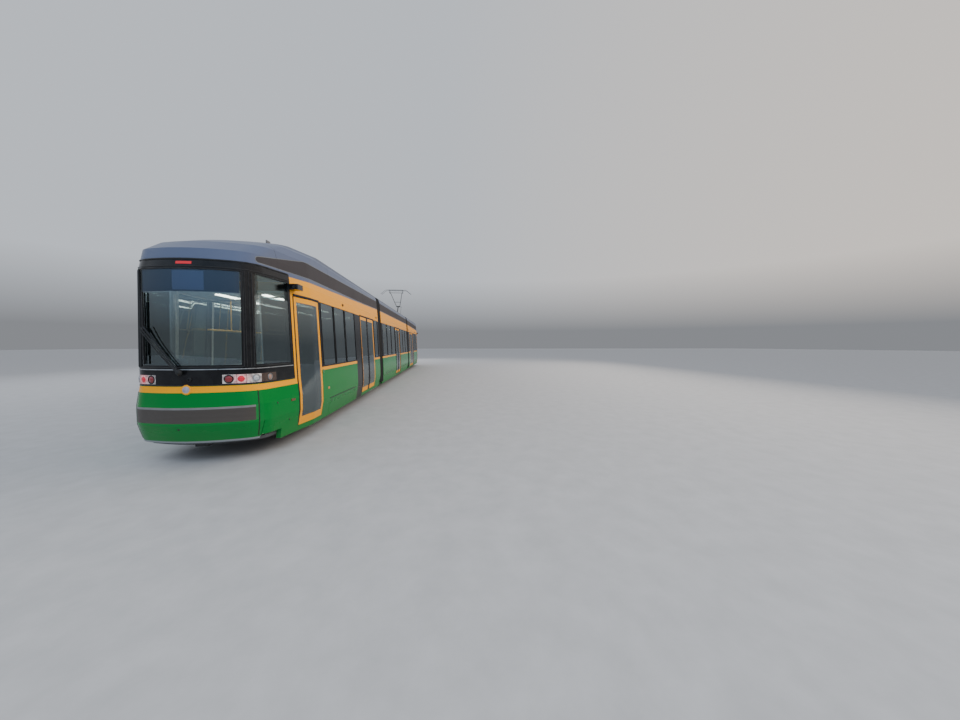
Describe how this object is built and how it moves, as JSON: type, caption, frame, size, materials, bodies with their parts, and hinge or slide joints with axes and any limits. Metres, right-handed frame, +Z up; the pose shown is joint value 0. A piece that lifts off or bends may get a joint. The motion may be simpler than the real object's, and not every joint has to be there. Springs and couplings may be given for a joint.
{
  "type": "articulated low-floor tram",
  "caption": "Articulated low-floor tram with bellows between its sections, pivoting bogies, end glass, side doors and a raised pantograph.",
  "frame": {"origin": "middle of the tram on the plane that the wheel flange tips stand on, 25 mm under the rail top", "axes": "+X to the leading end, +Y to the left side (the side with no doors), +Z up"},
  "size_m": [27.66, 2.4, 6.0436],
  "materials": {
    "body_paint": "gloss green with yellow bands",
    "bumper_plastic": "satin dark grey",
    "black_frame": "gloss black",
    "tinted_glass": "tinted",
    "door_paint": "gloss yellow",
    "unit_paint": "satin grey",
    "roof_paint": "satin light grey",
    "lamp_lens": "clear coloured lenses",
    "floor_cover": "non-slip floor on steel underframe",
    "seat_fabric": "woven moquette",
    "interior_panel": "satin panels and painted poles",
    "cab_plastic": "grained dark grey",
    "bellows_rubber": "folded rubber-coated cloth",
    "bogie_paint": "dusty dark grey",
    "wheel_steel": "turned tread, dusty web",
    "collector_metal": "aluminium carrier with carbon strips",
    "pantograph_paint": "satin dark grey"
  },
  "bodies": {
    "middle_section": {"middle_car_body": "body_paint", "middle_ceiling_and_poles": "interior_panel", "middle_doors": "door_paint", "middle_floor": "floor_cover", "middle_roof": "roof_paint", "middle_roof_units": "unit_paint", "middle_seats": "seat_fabric", "middle_side_glass": "tinted_glass", "middle_skirts": "body_paint", "middle_wheel_covers": "floor_cover", "rear_bellows": "bellows_rubber", "front_bellows": "bellows_rubber"},
    "rear_section": {"rear_bumper": "bumper_plastic", "rear_car_body": "body_paint", "rear_ceiling_and_poles": "interior_panel", "rear_doors": "door_paint", "rear_end_glass": "tinted_glass", "rear_floor": "floor_cover", "rear_lamps_and_wiper": "lamp_lens", "rear_nose_shell": "body_paint", "rear_roof": "roof_paint", "rear_roof_units": "unit_paint", "rear_seats": "seat_fabric", "rear_side_glass": "tinted_glass", "rear_skirts": "body_paint", "rear_wheel_covers": "floor_cover", "rear_window_frame": "black_frame"},
    "front_section": {"front_bumper": "bumper_plastic", "front_car_body": "body_paint", "front_ceiling_and_poles": "interior_panel", "front_doors": "door_paint", "front_end_glass": "tinted_glass", "front_floor": "floor_cover", "front_lamps_and_wiper": "lamp_lens", "front_nose_shell": "body_paint", "front_roof": "roof_paint", "front_roof_units": "unit_paint", "front_seats": "seat_fabric", "front_side_glass": "tinted_glass", "front_skirts": "body_paint", "front_wheel_covers": "floor_cover", "front_window_frame": "black_frame", "cab": "cab_plastic", "pantograph_base": "pantograph_paint"},
    "pantograph_lower": {"pantograph_lower_arm": "pantograph_paint"},
    "pantograph_rod": {"pantograph_control_rod": "pantograph_paint"},
    "pantograph_upper": {"pantograph_upper_arm": "pantograph_paint"},
    "pantograph_top": {"pantograph_head": "collector_metal"},
    "bogie_1": {"bogie_1_frame": "bogie_paint"},
    "wheelset_1a": {"bogie_1_wheelset_a": "wheel_steel"},
    "wheelset_1b": {"bogie_1_wheelset_b": "wheel_steel"},
    "bogie_2": {"bogie_2_frame": "bogie_paint"},
    "wheelset_2a": {"bogie_2_wheelset_a": "wheel_steel"},
    "wheelset_2b": {"bogie_2_wheelset_b": "wheel_steel"},
    "bogie_3": {"bogie_3_frame": "bogie_paint"},
    "wheelset_3a": {"bogie_3_wheelset_a": "wheel_steel"},
    "wheelset_3b": {"bogie_3_wheelset_b": "wheel_steel"},
    "bogie_4": {"bogie_4_frame": "bogie_paint"},
    "wheelset_4a": {"bogie_4_wheelset_a": "wheel_steel"},
    "wheelset_4b": {"bogie_4_wheelset_b": "wheel_steel"}
  },
  "joints": [
    {"name": "rear_articulation", "type": "hinge", "parent": "middle_section", "child": "rear_section", "pos_m": [-4.85, 0, 0.385], "axis": [0, 0, 1], "range_deg": [-28, 28], "deforming": ["rear_bellows"]},
    {"name": "front_articulation", "type": "hinge", "parent": "middle_section", "child": "front_section", "pos_m": [4.85, 0, 0.385], "axis": [0, 0, 1], "range_deg": [-28, 28], "deforming": ["front_bellows"]},
    {"name": "bogie_1_yaw", "type": "hinge", "parent": "rear_section", "child": "bogie_1", "pos_m": [-10.05, 0, 0.4], "axis": [0, 0, 1], "range_deg": [-9, 9]},
    {"name": "wheelset_1a_spin", "type": "hinge", "parent": "bogie_1", "child": "wheelset_1a", "pos_m": [-10.9, 0, 0.33], "axis": [0, 1, 0], "continuous": true},
    {"name": "wheelset_1b_spin", "type": "hinge", "parent": "bogie_1", "child": "wheelset_1b", "pos_m": [-9.2, 0, 0.33], "axis": [0, 1, 0], "continuous": true},
    {"name": "bogie_2_yaw", "type": "hinge", "parent": "middle_section", "child": "bogie_2", "pos_m": [-2.8, 0, 0.4], "axis": [0, 0, 1], "range_deg": [-9, 9]},
    {"name": "wheelset_2a_spin", "type": "hinge", "parent": "bogie_2", "child": "wheelset_2a", "pos_m": [-3.65, 0, 0.33], "axis": [0, 1, 0], "continuous": true},
    {"name": "wheelset_2b_spin", "type": "hinge", "parent": "bogie_2", "child": "wheelset_2b", "pos_m": [-1.95, 0, 0.33], "axis": [0, 1, 0], "continuous": true},
    {"name": "bogie_3_yaw", "type": "hinge", "parent": "middle_section", "child": "bogie_3", "pos_m": [2.8, 0, 0.4], "axis": [0, 0, 1], "range_deg": [-9, 9]},
    {"name": "wheelset_3a_spin", "type": "hinge", "parent": "bogie_3", "child": "wheelset_3a", "pos_m": [1.95, 0, 0.33], "axis": [0, 1, 0], "continuous": true},
    {"name": "wheelset_3b_spin", "type": "hinge", "parent": "bogie_3", "child": "wheelset_3b", "pos_m": [3.65, 0, 0.33], "axis": [0, 1, 0], "continuous": true},
    {"name": "bogie_4_yaw", "type": "hinge", "parent": "front_section", "child": "bogie_4", "pos_m": [10.05, 0, 0.4], "axis": [0, 0, 1], "range_deg": [-9, 9]},
    {"name": "wheelset_4a_spin", "type": "hinge", "parent": "bogie_4", "child": "wheelset_4a", "pos_m": [9.2, 0, 0.33], "axis": [0, 1, 0], "continuous": true},
    {"name": "wheelset_4b_spin", "type": "hinge", "parent": "bogie_4", "child": "wheelset_4b", "pos_m": [10.9, 0, 0.33], "axis": [0, 1, 0], "continuous": true},
    {"name": "pantograph_raise", "type": "hinge", "parent": "front_section", "child": "pantograph_lower", "pos_m": [7.6, 0, 3.985], "axis": [0, -1, 0], "range_deg": [-39.5, 12]},
    {"name": "pantograph_knee", "type": "hinge", "parent": "pantograph_lower", "child": "pantograph_upper", "pos_m": [8.57925, 0, 4.91428], "axis": [0, -1, 0], "range_deg": [-24, 79]},
    {"name": "pantograph_head_level", "type": "hinge", "parent": "pantograph_upper", "child": "pantograph_top", "pos_m": [7.6, 0, 5.84356], "axis": [0, -1, 0], "range_deg": [-39.5, 12]},
    {"name": "pantograph_rod_swing", "type": "hinge", "parent": "front_section", "child": "pantograph_rod", "pos_m": [7.78, 0, 4], "axis": [0, -1, 0], "range_deg": [-40.6, 12.4]}
  ],
  "couplings": [
    {"joint": "pantograph_knee", "follows": "pantograph_raise", "ratio": -2},
    {"joint": "pantograph_head_level", "follows": "pantograph_raise", "ratio": 1},
    {"joint": "pantograph_rod_swing", "follows": "pantograph_raise", "ratio": 1.0265}
  ]
}
